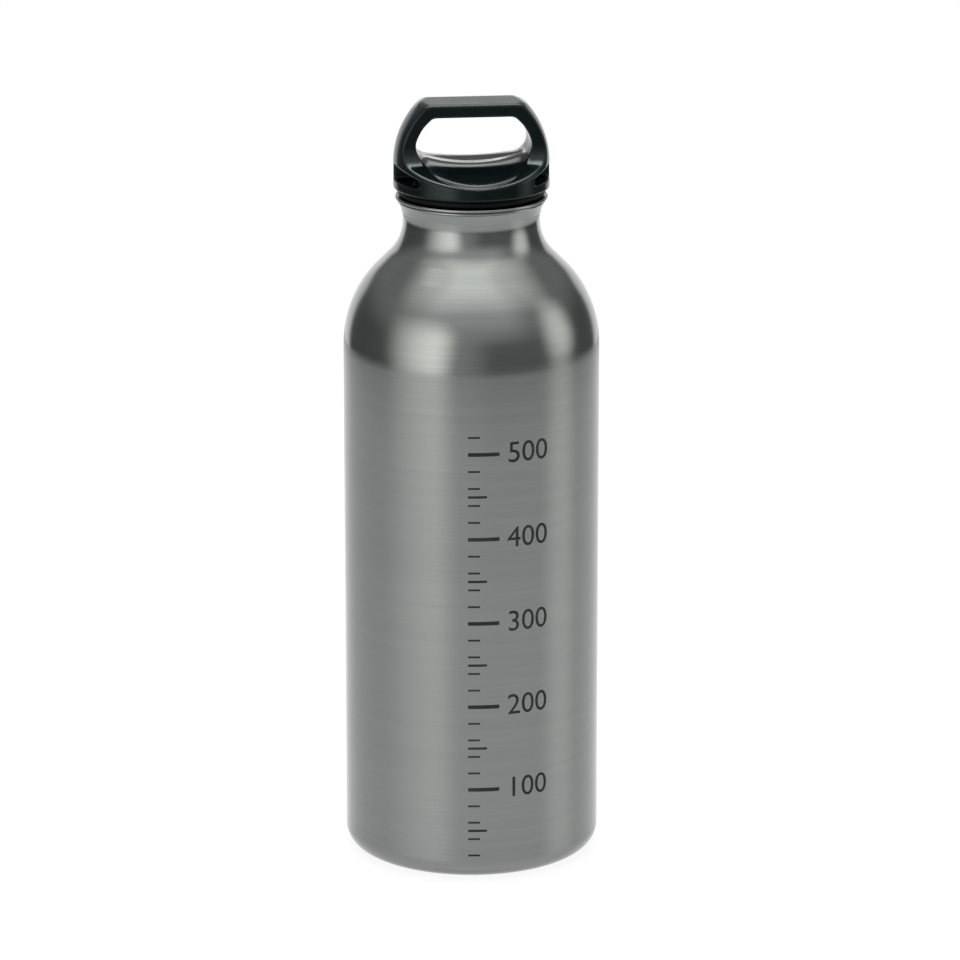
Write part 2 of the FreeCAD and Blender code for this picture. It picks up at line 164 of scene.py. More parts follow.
@dataclass
class SharedEffects:
    """Node groups that several finishes use. Lines are given as the scale and detail of their noise."""

    fine_lines: Span = (1.0, 2.0)
    broad_lines: Span = (0.12, 1.0)
    grain_detail: float = 2.0
    grain_roughness: float = 0.6
    smudge_detail: float = 4.0
    smudge_distortion: float = 0.6
    smudge_reach: Span = (0.42, 0.68)
    specks_per_metre: float = 900.0
    speck_reach: Span = (0.06, 0.14)
    patches_per_metre: float = 160.0
    patch_reach: Span = (0.6, 0.7)

    def __post_init__(self) -> None:
        """Build each group once."""
        self.turning = self._group("turning_lines", {"Pitch": 0.35, "Run": 1.2}, ("Fine", "Broad"),
                                   self._turning)
        self.grain = self._group("moulded_grain", {"Size": 0.2}, ("Height",), self._grain)
        self.handling = self._group("handling_marks", {"Size": 30.0}, ("Smudge", "Speck"), self._handling)

    @staticmethod
    def _group(name: str, inputs: dict[str, float], outputs: Iterable[str],
               fill: Callable[[NodeSketch, Any], dict[str, Any]]) -> bpy.types.NodeTree:
        """Make a group of values.

        Args:
            name: Name of the group.
            inputs: Input names and their usual values.
            outputs: Output names.
            fill: Places the nodes and gives the output of each name.

        Returns:
            The group.
        """
        group = bpy.data.node_groups.new(name, "ShaderNodeTree")
        for label, value in inputs.items():
            socket = group.interface.new_socket(label, in_out="INPUT", socket_type="NodeSocketFloat")
            socket.default_value = value
        for label in outputs:
            group.interface.new_socket(label, in_out="OUTPUT", socket_type="NodeSocketFloat")
        sketch = NodeSketch(group)
        entry = sketch.add("NodeGroupInput")
        results = fill(sketch, entry.outputs)
        sketch.add("NodeGroupOutput", results)
        return group

    def _turning(self, sketch: NodeSketch, entry: Any) -> dict[str, Any]:
        """Draw lines left by turning about Z, Pitch apart in millimetres, that change over their Run.

        Args:
            sketch: Sketch of the group.
            entry: Inputs of the group.

        Returns:
            Fine and broad lines.
        """
        axes = sketch.axes(sketch.on_object())
        flat = sketch.add("CombineXYZ", {0: axes[0], 1: axes[1]}).outputs[0]
        radius = sketch.vector("LENGTH", flat).outputs["Value"]
        around = sketch.vector("NORMALIZE", flat).outputs["Vector"]
        turned = sketch.add("VectorMath", {0: around, "Scale": entry["Run"]}, operation="SCALE").outputs[0]
        per_metre = sketch.math("DIVIDE", 1.0 / MM, entry["Pitch"])
        height = sketch.math("MULTIPLY", axes[2], per_metre)
        outward = sketch.math("MULTIPLY", radius, per_metre)
        lifted = sketch.add("CombineXYZ", {2: height}).outputs[0]
        spot = sketch.vector("ADD", turned, lifted).outputs[0]
        results = {}
        for label, (scale, detail) in {"Fine": self.fine_lines, "Broad": self.broad_lines}.items():
            noise = sketch.add("TexNoise", {"Vector": spot, "W": outward, "Scale": scale, "Detail": detail},
                               noise_dimensions="4D")
            results[label] = noise.outputs["Fac"]
        return results

    def _grain(self, sketch: NodeSketch, entry: Any) -> dict[str, Any]:
        """Draw the fine grain of a moulding, with cells of Size in millimetres.

        Args:
            sketch: Sketch of the group.
            entry: Inputs of the group.

        Returns:
            Height of the grain.
        """
        noise = sketch.add("TexNoise", {
            "Vector": sketch.on_object(), "Scale": sketch.math("DIVIDE", 1.0 / MM, entry["Size"]),
            "Detail": self.grain_detail, "Roughness": self.grain_roughness,
        })
        return {"Height": noise.outputs["Fac"]}

    def _handling(self, sketch: NodeSketch, entry: Any) -> dict[str, Any]:
        """Draw soft smudges of Size in millimetres, and sparse specks of dust.

        Args:
            sketch: Sketch of the group.
            entry: Inputs of the group.

        Returns:
            Masks of the smudges and the specks.
        """
        place = sketch.on_object()
        cloud = sketch.add("TexNoise", {
            "Vector": place, "Scale": sketch.math("DIVIDE", 1.0 / MM, entry["Size"]),
            "Detail": self.smudge_detail, "Distortion": self.smudge_distortion,
        })
        smudge = sketch.span(cloud.outputs["Fac"], self.smudge_reach)
        dots = sketch.add("TexVoronoi", {"Vector": place, "Scale": self.specks_per_metre}).outputs["Distance"]
        patches = sketch.add("TexNoise", {"Vector": place, "Scale": self.patches_per_metre, "Detail": 1.0})
        dusty = sketch.span(patches.outputs["Fac"], self.patch_reach)
        speck = sketch.math("MULTIPLY", sketch.span(dots, self.speck_reach, 1.0, 0.0), dusty)
        return {"Smudge": smudge, "Speck": speck}


def new_material(name: str) -> tuple[bpy.types.Material, NodeSketch]:
    """Start a node material.

    Args:
        name: Name of the material.

    Returns:
        The material and the sketch of its nodes.
    """
    material = bpy.data.materials.new(name)
    material.use_nodes = True
    return material, NodeSketch(material.node_tree)


@dataclass(frozen=True)
class LacqueredAluminium:
    """Grey aluminium under clear lacquer, with lines left by turning that are deeper at the neck."""

    dark: Colour = (0.202, 0.213, 0.209)
    light: Colour = (0.223, 0.235, 0.230)
    pitch: float = 0.35
    run: float = 1.2
    fine_share: float = 0.6
    broad_share: float = 0.4
    tone_reach: Span = (0.3, 0.7)
    smudge_size: float = 28.0
    roughness: float = 0.145
    smudged_roughness: float = 0.175
    line_depth: float = 0.004
    line_strength: float = 0.1
    neck_heights: Span = (183.0, 189.0)
    neck_lines: float = 3.0
    lacquer: float = 0.3
    lacquer_roughness: float = 0.06

    def material(self, effects: SharedEffects) -> bpy.types.Material:
        """Build the finish.

        Args:
            effects: Shared node groups.

        Returns:
            The material.
        """
        material, sketch = new_material("lacquered_aluminium")
        lines = sketch.place(effects.turning, Pitch=self.pitch, Run=self.run)
        marks = sketch.place(effects.handling, Size=self.smudge_size)
        tone = sketch.math("ADD", sketch.math("MULTIPLY", lines["Fine"], self.fine_share),
                           sketch.math("MULTIPLY", lines["Broad"], self.broad_share))
        colour = sketch.blend(sketch.span(tone, self.tone_reach), self.dark, self.light)
        rough = sketch.span(marks["Smudge"], UNIT, self.roughness, self.smudged_roughness)
        height = sketch.axes(sketch.on_object())[2]
        low, high = self.neck_heights
        deeper = sketch.span(height, (low * MM, high * MM), 1.0, self.neck_lines)
        bump = sketch.add("Bump", {
            "Height": sketch.math("MULTIPLY", lines["Fine"], deeper),
            "Strength": self.line_strength, "Distance": self.line_depth * MM,
        })
        shader = sketch.add("BsdfPrincipled", {
            "Base Color": colour, "Metallic": 1.0, "Roughness": rough, "Normal": bump.outputs[0],
            "Coat Weight": self.lacquer, "Coat Roughness": self.lacquer_roughness,
        })
        sketch.add("OutputMaterial", {"Surface": shader.outputs[0]})
        return material


@dataclass(frozen=True)
class MouldedPlastic:
    """Black moulded plastic or rubber with a fine grain."""

    name: str
    colour: Colour
    faded: Colour
    roughness: float
    smudged_roughness: float
    grain_size: float
    grain_depth: float
    grain_strength: float = 0.3
    ior: float = 1.5
    gloss_tint: Colour = (1.0, 1.0, 1.0)
    smudge_size: float = 14.0
    smudge_share: float = 0.5

    def material(self, effects: SharedEffects) -> bpy.types.Material:
        """Build the finish.

        Args:
            effects: Shared node groups.

        Returns:
            The material.
        """
        material, sketch = new_material(self.name)
        marks = sketch.place(effects.handling, Size=self.smudge_size)
        grain = sketch.place(effects.grain, Size=self.grain_size)["Height"]
        worn = sketch.math("MULTIPLY", marks["Smudge"], self.smudge_share)
        colour = sketch.blend(sketch.math("MAXIMUM", worn, marks["Speck"]), self.colour, self.faded)
        rough = sketch.span(marks["Smudge"], UNIT, self.roughness, self.smudged_roughness)
        bump = sketch.add("Bump", {
            "Height": grain, "Strength": self.grain_strength, "Distance": self.grain_depth * MM,
        })
        shader = sketch.add("BsdfPrincipled", {
            "Base Color": colour, "Roughness": rough, "Normal": bump.outputs[0], "IOR": self.ior,
            "Specular Tint": (*self.gloss_tint, 1.0),
        })
        sketch.add("OutputMaterial", {"Surface": shader.outputs[0]})
        return material


@dataclass(frozen=True)
class PrintInk:
    """Screen-printed dark ink, a little thin in places."""

    colour: Colour = (0.014, 0.021, 0.021)
    thin: Colour = (0.035, 0.043, 0.042)
    smudge_size: float = 6.0
    grain_size: float = 0.3
    grain_reach: Span = (0.3, 0.7)
    roughness: float = 0.42
    rougher: float = 0.1
    ior: float = 1.22

    def material(self, effects: SharedEffects) -> bpy.types.Material:
        """Build the finish.

        Args:
            effects: Shared node groups.

        Returns:
            The material.
        """
        material, sketch = new_material("print_ink")
        marks = sketch.place(effects.handling, Size=self.smudge_size)
        grain = sketch.place(effects.grain, Size=self.grain_size)["Height"]
        colour = sketch.blend(sketch.math("MULTIPLY", marks["Smudge"], grain), self.colour, self.thin)
        rough = sketch.span(grain, self.grain_reach, self.roughness, self.roughness + self.rougher)
        shader = sketch.add("BsdfPrincipled", {"Base Color": colour, "Roughness": rough, "IOR": self.ior})
        sketch.add("OutputMaterial", {"Surface": shader.outputs[0]})
        return material


CAP_PLASTIC = MouldedPlastic(
    name="cap_plastic", colour=(0.0014, 0.0036, 0.0042), faded=(0.0030, 0.0056, 0.0062),
    roughness=0.13, smudged_roughness=0.17, grain_size=0.25, grain_depth=0.002,
    ior=1.33, gloss_tint=(0.74, 0.9, 0.92),
)
STOPPER_PLASTIC = MouldedPlastic(
    name="stopper_plastic", colour=(0.018, 0.019, 0.02), faded=(0.04, 0.042, 0.043),
    roughness=0.48, smudged_roughness=0.58, grain_size=0.35, grain_depth=0.01,
)
SEAL_RUBBER = MouldedPlastic(
    name="seal_rubber", colour=(0.002, 0.0022, 0.0025), faded=(0.004, 0.0044, 0.0048),
    roughness=0.5, smudged_roughness=0.6, grain_size=0.18, grain_depth=0.01, ior=1.2,
)


class LathePen:
    """Draws an outline of radii and heights in the XZ plane, in millimetres, and turns it about Z."""

    def __init__(self, radius: float, height: float) -> None:
        """Set the pen down at a radius and height."""
        self.mesh = bmesh.new()
        self.tip = self.mesh.verts.new((radius * MM, 0.0, height * MM))

    def line(self, radius: float, height: float) -> "LathePen":
        """Draw a straight line.

        Args:
            radius: Distance of its end from the axis.
            height: Height of its end.

        Returns:
            The pen.
        """
        self.tip = bmesh.ops.extrude_vert_indiv(self.mesh, verts=[self.tip])["verts"][0]
        self.tip.co = (radius * MM, 0.0, height * MM)
        return self

    def arc(self, radius: float, height: float, degrees: float, steps: int) -> "LathePen":
        """Draw an arc about a centre.

        Args:
            radius: Distance of the centre from the axis.
            height: Height of the centre.
            degrees: Angle, positive from the outward to the upward direction.
            steps: Number of straight pieces.

        Returns:
            The pen.
        """
        drawn = bmesh.ops.spin(self.mesh, geom=[self.tip], cent=(radius * MM, 0.0, height * MM),
                               axis=(0, 1, 0), angle=-math.radians(degrees), steps=steps)
        self.tip = next(item for item in drawn["geom_last"] if isinstance(item, bmesh.types.BMVert))
        return self

    def turn(self, steps: int) -> bmesh.types.BMesh:
        """Turn the outline once about Z.

        Args:
            steps: Number of flats round the axis.

        Returns:
            The closed surface, facing outwards.
        """
        bmesh.ops.remove_doubles(self.mesh, verts=self.mesh.verts, dist=MERGE)
        outline = self.mesh.verts[:] + self.mesh.edges[:]
        bmesh.ops.spin(self.mesh, geom=outline, cent=(0, 0, 0), axis=(0, 0, 1), angle=math.tau, steps=steps,
                       use_merge=True)
        bmesh.ops.remove_doubles(self.mesh, verts=self.mesh.verts, dist=MERGE)
        bmesh.ops.recalc_face_normals(self.mesh, faces=self.mesh.faces)
        return self.mesh


def new_piece(name: str, mesh: bmesh.types.BMesh, material: bpy.types.Material,
              sharp_degrees: float = 32.0) -> bpy.types.Object:
    """Make an object of a mesh and dress it.

    Args:
        name: Name of the piece.
        mesh: Its mesh, which is used up.
        material: Its finish.
        sharp_degrees: Edges bent by more than this stay sharp.

    Returns:
        The object.
    """
    data = bpy.data.meshes.new(name)
    mesh.to_mesh(data)
    mesh.free()
    data.shade_smooth()
    data.set_sharp_from_angle(angle=math.radians(sharp_degrees))
    data.materials.append(material)
    piece = bpy.data.objects.new(name, data)
    bpy.context.scene.collection.objects.link(piece)
    return piece


def discard(piece: bpy.types.Object) -> None:
    """Remove a helper object and its mesh.

    Args:
        piece: Object that isn't needed any more.
    """
    data = piece.data
    bpy.data.objects.remove(piece)
    bpy.data.meshes.remove(data)


def applied(piece: bpy.types.Object) -> bmesh.types.BMesh:
    """Take the mesh that an object's modifiers give, and remove the object.

    Args:
        piece: Object with live modifiers.

    Returns:
        The finished mesh.
    """
    bpy.context.view_layer.update()
    shown = piece.evaluated_get(bpy.context.evaluated_depsgraph_get())
    mesh = bmesh.new()
    mesh.from_mesh(shown.to_mesh())
    shown.to_mesh_clear()
    discard(piece)
    return mesh


def eased(share: float) -> float:
    """Give a share from 0 to 1 a soft start and end."""
    return share * share * (3.0 - 2.0 * share)


def carry(piece: bpy.types.Object, body: Body, nodes: Iterable[str] = ()) -> None:
    """Fix a piece to its body and report it.

    Args:
        piece: Finished piece.
        body: Body that it moves with.
        nodes: Solids that it stands for.
    """
    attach(piece, body.value)
    for node in nodes:
        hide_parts(node)
    LOG.info("%s: %d faces on %s", piece.name, len(piece.data.polygons), body.value)


@dataclass(frozen=True)
class ScrewThread:
    """Helical ridge on a round wall."""

    root_radius: float
    crest_radius: float
    start: float
    turns: float
    root_width: float = 1.9
    crest_width: float = 0.9
    lead: float = 4.0
    steps_per_turn: int = 96
    fade: float = 0.12

    def add_to(self, mesh: bmesh.types.BMesh) -> None:
        """Add the ridge to a mesh.

        Args:
            mesh: Mesh of the wall.
        """
        ridge = bmesh.new()
        corners = [(self.root_radius, -self.root_width), (self.crest_radius, -self.crest_width),
                   (self.crest_radius, self.crest_width), (self.root_radius, self.root_width)]
        verts = [ridge.verts.new((radius * MM, 0.0, (self.start + width / 2) * MM))
                 for radius, width in corners]
        edges = [ridge.edges.new((verts[index - 1], vert)) for index, vert in enumerate(verts)]
        steps = round(self.turns * self.steps_per_turn)
        bmesh.ops.spin(ridge, geom=verts + edges, cent=(0, 0, 0), axis=(0, 0, 1), angle=math.tau * self.turns,
                       dvec=(0, 0, self.lead * MM / self.steps_per_turn), steps=steps)
        for vert in ridge.verts:
            self._run_out(vert)
        bmesh.ops.holes_fill(ridge, edges=[edge for edge in ridge.edges if edge.is_boundary])
        bmesh.ops.recalc_face_normals(ridge, faces=ridge.faces)
        data = bpy.data.meshes.new("thread_ridge")
        ridge.to_mesh(data)
        ridge.free()
        mesh.from_mesh(data)
        bpy.data.meshes.remove(data)

    def _run_out(self, vert: bmesh.types.BMVert) -> None:
        """Let the ridge run out into its wall towards both ends.

        Args:
            vert: Corner of the ridge, which is moved.
        """
        angle = math.atan2(vert.co.y, vert.co.x) / math.tau
        climbed = (vert.co.z / MM - self.start) / self.lead
        turned = angle + round(climbed - angle)
        share = eased(min(1.0, max(0.0, min(turned, self.turns - turned) / self.fade)))
        radius = math.hypot(vert.co.x, vert.co.y) / MM
        faded = self.root_radius + (radius - self.root_radius) * share
        vert.co.x *= faded / radius
        vert.co.y *= faded / radius


@dataclass
class BottleShell:
    """Drawn shell: domed base, straight wall, shoulder, threaded neck and rolled collar."""

    body_radius: float = 36.75
    straight_top: float = 148.9
    wall: float = 1.0
    base_wall: float = 1.6
    corner_radius: float = 6.1
    ring_width: float = 3.2
    dome_height: float = 3.0
    lead_radius: float = 90.0
    lead_degrees: float = 2.2
    shoulder_radius: float = 32.0
    slope_degrees: float = 45.0
    fillet_radius: float = 13.8
    neck_radius: float = 19.58
    neck_top: float = 187.2
    root_radius: float = 4.0
    flare_radius: float = 12.0
    flare_degrees: float = 22.0
    groove_degrees: Span = (10.8, 13.0)
    groove_depth: float = 0.05
    bead_height: float = 192.45
    bead_radius: float = 0.45
    rim_radius: float = 21.88
    rim_bottom: float = 193.5
    rim_top: float = 194.4
    rim_roundness: float = 0.45
    seat_radius: float = 20.95
    seat_height: float = 194.361
    mouth_radius: float = 17.5
    mouth_chamfer: float = 0.6
    thread: ScrewThread = ScrewThread(root_radius=17.6, crest_radius=16.6, start=187.3, turns=1.2)
    steps: int = 256
    dome_steps: int = 16
    corner_steps: int = 20
    lead_steps: int = 6
    shoulder_steps: int = 40
    fillet_steps: int = 24
    flare_steps: int = 8
    round_steps: int = 12
    inner_shoulder_steps: int = 24
    inner_lead_steps: int = 4

    def __post_init__(self) -> None:
        """Work out the centres and radii that the outside and the inside share."""
        slope = math.radians(self.slope_degrees)
        self.sine = math.sin(slope)
        self.cosine = math.cos(slope)
        self.ring_outer = self.body_radius - self.corner_radius
        self.ring_inner = self.ring_outer - self.ring_width
        self.dome_radius = (self.ring_inner ** 2 + self.dome_height ** 2) / (2 * self.dome_height)
        self.dome_degrees = math.degrees(math.asin(self.ring_inner / self.dome_radius))
        lead = math.radians(self.lead_degrees)
        shift = self.lead_radius - self.shoulder_radius
        self.lead_centre = self.body_radius - self.lead_radius
        self.shoulder_centre = self.lead_centre + shift * math.cos(lead)
        self.shoulder_base = self.straight_top + shift * math.sin(lead)

    def build(self, finish: bpy.types.Material) -> None:
        """Model and dress the shell.

        Args:
            finish: Lacquered aluminium.
        """
        pen = LathePen(0.0, self.dome_height)
        self._draw_base(pen)
        self._draw_shoulder(pen)
        self._draw_flare(pen)
        self._draw_collar(pen)
        self._draw_inside(pen)
        mesh = pen.turn(self.steps)
        self.thread.add_to(mesh)
        piece = new_piece("bottle_shell", mesh, finish)
        carry(piece, Body.BOTTLE, ["bottle_body"])

    def _slope_height(self, arc_radius: float, reach: float) -> float:
        """Find where the straight slope above the shoulder's arc comes in to a given radius.

        Args:
            arc_radius: Radius of the shoulder's arc, outside or inside.
            reach: Distance from the axis.

        Returns:
            The height.
        """
        arc_top = self.shoulder_base + arc_radius * self.sine
        arc_end = self.shoulder_centre + arc_radius * self.cosine
        return arc_top + (arc_end - reach) * self.cosine / self.sine

    def _draw_base(self, pen: LathePen) -> None:
        """Draw dome, foot ring, corner and straight wall.

        Args:
            pen: Pen at the middle of the dome.
        """
        pen.arc(0.0, self.dome_height - self.dome_radius, -self.dome_degrees, self.dome_steps)
        pen.line(self.ring_outer, 0.0)
        pen.arc(self.ring_outer, self.corner_radius, 90.0, self.corner_steps)
        pen.line(self.body_radius, self.straight_top)

    def _draw_shoulder(self, pen: LathePen) -> None:
        """Draw the soft lead, the shoulder, the fillet and the neck.

        Args:
            pen: Pen at the top of the straight wall.
        """
        fillet_start = self.neck_radius + self.fillet_radius * (1 - self.cosine)
        fillet_base = self._slope_height(self.shoulder_radius, fillet_start)
        neck_start = fillet_base + self.fillet_radius * self.sine
        LOG.info("neck is straight from %.2f to %.2f mm", neck_start, self.neck_top)
        pen.arc(self.lead_centre, self.straight_top, self.lead_degrees, self.lead_steps)
        pen.arc(self.shoulder_centre, self.shoulder_base, self.slope_degrees - self.lead_degrees,
                self.shoulder_steps)
        pen.line(fillet_start, fillet_base)
        pen.arc(self.neck_radius + self.fillet_radius, neck_start, -self.slope_degrees, self.fillet_steps)
        pen.line(self.neck_radius, self.neck_top)

    def _draw_flare(self, pen: LathePen) -> None:
        """Draw the flare under the collar, with a fine turned groove round it.

        Args:
            pen: Pen at the top of the neck.
        """
        centre = self.neck_radius + self.flare_radius
        start, end = self.groove_degrees
        middle = math.radians((start + end) / 2)
        after = math.radians(end)
        pen.arc(centre, self.neck_top, -start, self.flare_steps)
        pen.line(centre - self.flare_radius * math.cos(middle) - self.groove_depth,
                 self.neck_top + self.flare_radius * math.sin(middle))
        pen.line(centre - self.flare_radius * math.cos(after),
                 self.neck_top + self.flare_radius * math.sin(after))
        pen.arc(centre, self.neck_top, end - self.flare_degrees, self.flare_steps)

    def _draw_collar(self, pen: LathePen) -> None:
        """Draw the bead, the rolled rim and the seat of the seal.

        Args:
            pen: Pen at the end of the flare.
        """
        flare = math.radians(self.flare_degrees)
        flare_end = self.neck_radius + self.flare_radius * (1 - math.cos(flare))
        flare_height = self.neck_top + self.flare_radius * math.sin(flare)
        bead = flare_end + (self.bead_height - flare_height) * math.tan(flare)
        round_centre = self.rim_radius - self.rim_roundness
        edge_height = self.rim_top - self.rim_roundness
        pen.line(bead, self.bead_height)
        pen.arc(bead, self.bead_height + self.bead_radius, 180.0, self.round_steps)
        pen.line(round_centre, self.rim_bottom)
        pen.arc(round_centre, self.rim_bottom + self.rim_roundness, 90.0, self.round_steps)
        pen.line(self.rim_radius, edge_height)
        pen.arc(round_centre, edge_height, 90.0, self.round_steps)
        pen.line(self.seat_radius, self.seat_height)

    def _draw_inside(self, pen: LathePen) -> None:
        """Draw the mouth and the inside back down to the middle of the base.

        Args:
            pen: Pen at the outer edge of the seat.
        """
        inner_arc = self.shoulder_radius - self.wall
        root_reach = self.mouth_radius + self.root_radius * (1 - self.cosine)
        root_centre = self._slope_height(inner_arc, root_reach) + self.root_radius * self.sine
        corner_centre = self.base_wall + (self.corner_radius - self.wall)
        pen.line(self.mouth_radius + self.mouth_chamfer, self.seat_height)
        pen.line(self.mouth_radius, self.seat_height - self.mouth_chamfer)
        pen.line(self.mouth_radius, root_centre)
        pen.arc(self.mouth_radius + self.root_radius, root_centre, self.slope_degrees, self.round_steps)
        pen.line(self.shoulder_centre + inner_arc * self.cosine, self.shoulder_base + inner_arc * self.sine)
        pen.arc(self.shoulder_centre, self.shoulder_base, self.lead_degrees - self.slope_degrees,
                self.inner_shoulder_steps)
        pen.arc(self.lead_centre, self.straight_top, -self.lead_degrees, self.inner_lead_steps)
        pen.line(self.body_radius - self.wall, corner_centre)
        pen.arc(self.ring_outer, corner_centre, -90.0, self.round_steps)
        pen.line(self.ring_inner, self.base_wall)
        pen.arc(0.0, self.dome_height + self.base_wall - self.dome_radius, self.dome_degrees, self.dome_steps)


@dataclass
class PrintedScale:
    """Fill scale in dark ink: bars up the wall and plain numbers beside them. Each step is 20 millilitres."""

    radius: float = 36.75
    raised: float = 0.03
    sunk: float = 0.05
    middle_degrees: float = 1.5
    empty_height: float = 2.8
    step_height: float = 4.98
    step_volume: int = 20
    steps: int = 26
    steps_per_number: int = 5
    bar_lengths: tuple[float, float, float] = (3.4, 5.4, 9.0)
    bar_widths: tuple[float, float, float] = (0.55, 0.7, 1.1)
    bar_start: float = -6.0
    number_start: float = 5.2
    number_size: float = 8.6
    number_steps: int = 6
    strip: float = 1.0
    strip_tolerance: float = 1e-8

    def build(self, finish: bpy.types.Material) -> None:
        """Model and dress the scale.

        Args:
            finish: Print ink.
        """
        mesh = bmesh.new()
        for step in range(1, self.steps + 1):
            past_number = step % self.steps_per_number
            height = self.empty_height + step * self.step_height
            self._bar(mesh, Bar.SHORT if past_number else Bar.NUMBERED, height)
            if past_number == 0:
                self._number(mesh, str(step * self.step_volume), height)
            if past_number == self.steps_per_number // 2:
                self._bar(mesh, Bar.HALF_WAY, height + self.step_height / 2)
        self._wrap(mesh)
        piece = new_piece("fill_scale", mesh, finish)
        carry(piece, Body.BOTTLE)

    def _bar(self, mesh: bmesh.types.BMesh, kind: Bar, height: float) -> None:
        """Add a level bar to the flat print.

        Args:
            mesh: Mesh of the print.
            kind: Kind of bar.
            height: Height of its middle.
        """
        length = self.bar_lengths[kind]
        middle = Vector((self.bar_start + length / 2, (self.sunk - self.raised) / 2, height)) * MM
        size = Vector((length, self.raised + self.sunk, self.bar_widths[kind])) * MM
        bmesh.ops.create_cube(mesh, size=1.0, matrix=Matrix.LocRotScale(middle, None, size))

    def _number(self, mesh: bmesh.types.BMesh, digits: str, height: float) -> None:
        """Add a number beside its bar.

        Args:
            mesh: Mesh of the print.
            digits: The number.
            height: Height of its middle.
        """
        curve = bpy.data.curves.new("number", "FONT")
        curve.body = digits
        curve.size = self.number_size * MM
        curve.extrude = (self.raised + self.sunk) / 2 * MM
        curve.align_y = "CENTER"
        curve.resolution_u = self.number_steps
        stand = bpy.data.objects.new("number", curve)
        shape = bpy.data.meshes.new_from_object(stand)
        upright = Matrix.Rotation(math.radians(90), 4, "X")
        place = Vector((self.number_start, (self.sunk - self.raised) / 2, height)) * MM
        shape.transform(Matrix.Translation(place) @ upright)
        mesh.from_mesh(shape)
        bpy.data.meshes.remove(shape)
        bpy.data.objects.remove(stand)
        bpy.data.curves.remove(curve)

    def _wrap(self, mesh: bmesh.types.BMesh) -> None:
        """Cut the flat print into narrow strips and lay it round the wall.

        Args:
            mesh: Mesh of the print, which is changed.
        """
        bmesh.ops.remove_doubles(mesh, verts=mesh.verts, dist=MERGE)
        reach = max(vert.co.x for vert in mesh.verts) / MM
        for index in range(math.floor((reach - self.bar_start) / self.strip) + 1):
            across = (self.bar_start + (index + 0.5) * self.strip) * MM
            bmesh.ops.bisect_plane(mesh, geom=mesh.verts[:] + mesh.edges[:] + mesh.faces[:],
                                   dist=self.strip_tolerance, plane_co=(across, 0, 0), plane_no=(1, 0, 0))
        for vert in mesh.verts:
            radius = self.radius * MM - vert.co.y
            angle = math.radians(self.middle_degrees) + vert.co.x / (self.radius * MM)
            vert.co.x = radius * math.sin(angle)
            vert.co.y = -radius * math.cos(angle)
        bmesh.ops.recalc_face_normals(mesh, faces=mesh.faces)


@dataclass
class MouthSeal:
    """Rubber ring squeezed between collar and cap."""

    mean_radius: float = 19.6
    flat_width: float = 0.4
    bottom: float = 194.361
    height: float = 2.4
    steps: int = 192
    round_steps: int = 24

    def build(self, finish: bpy.types.Material) -> None:
        """Model and dress the ring.

        Args:
            finish: Black rubber.
        """
        middle = self.bottom + self.height / 2
        outer = self.mean_radius + self.flat_width / 2
        inner = self.mean_radius - self.flat_width / 2
        pen = LathePen(inner, self.bottom).line(outer, self.bottom)
        pen.arc(outer, middle, 180.0, self.round_steps).line(inner, self.bottom + self.height)
        pen.arc(inner, middle, 180.0, self.round_steps)
        piece = new_piece("seal_ring", pen.turn(self.steps), finish)
        carry(piece, Body.SEAL, ["mouth_seal_ring"])


@dataclass
class LoopCap:
    """Moulded cap with a loop handle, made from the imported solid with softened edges."""

    weld: float = 0.001
    cell: float = 0.28
    smoothing: float = 0.5
    smoothing_rounds: int = 4
    sharp_degrees: float = 60.0
    seat: float = 196.761
    saddle_reach: float = 7.6
    saddle_width: Span = (12.0, 16.0)
    saddle_heights: Span = (6.4, 9.6)
    saddle_fill: float = 0.22

    def build(self, finish: bpy.types.Material) -> None:
        """Model and dress the cap.

        Args:
            finish: Black moulded plastic.
        """
        mesh = bmesh.new()
        mesh.from_mesh(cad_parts["cap_shell"].data)
        bmesh.ops.remove_doubles(mesh, verts=mesh.verts, dist=self.weld * MM)
        blank = new_piece("cap_blank", mesh, finish)
        skin = blank.modifiers.new("skin", "REMESH")
        skin.mode = "VOXEL"
        skin.voxel_size = self.cell * MM
        skin.use_smooth_shade = True
        mesh = applied(blank)
        for _ in range(self.smoothing_rounds):
            bmesh.ops.smooth_vert(mesh, verts=mesh.verts, factor=self.smoothing, use_axis_x=True,
                                  use_axis_y=True, use_axis_z=True)
        self._level_saddle(mesh)
        bmesh.ops.recalc_face_normals(mesh, faces=mesh.faces)
        piece = new_piece("cap_moulding", mesh, finish, self.sharp_degrees)
        carry(piece, Body.CAP, ["cap_shell"])

    def _level_saddle(self, mesh: bmesh.types.BMesh) -> None:
        """Fill the hollow across the middle of the saddle, so that its top is nearly level.

        Args:
            mesh: Mesh of the cap, which is changed.
        """
        inner, outer = self.saddle_width
        low, high = self.saddle_heights
        for vert in mesh.verts:
            along = abs(vert.co.y) / MM / self.saddle_reach
            across = abs(vert.co.x) / MM
            if along < 1.0 and across < outer and low < vert.co.z / MM - self.seat < high:
                share = eased(min(1.0, (outer - across) / (outer - inner)))
                vert.co.z += self.saddle_fill * MM * (1.0 - along ** 2) ** 2 * share


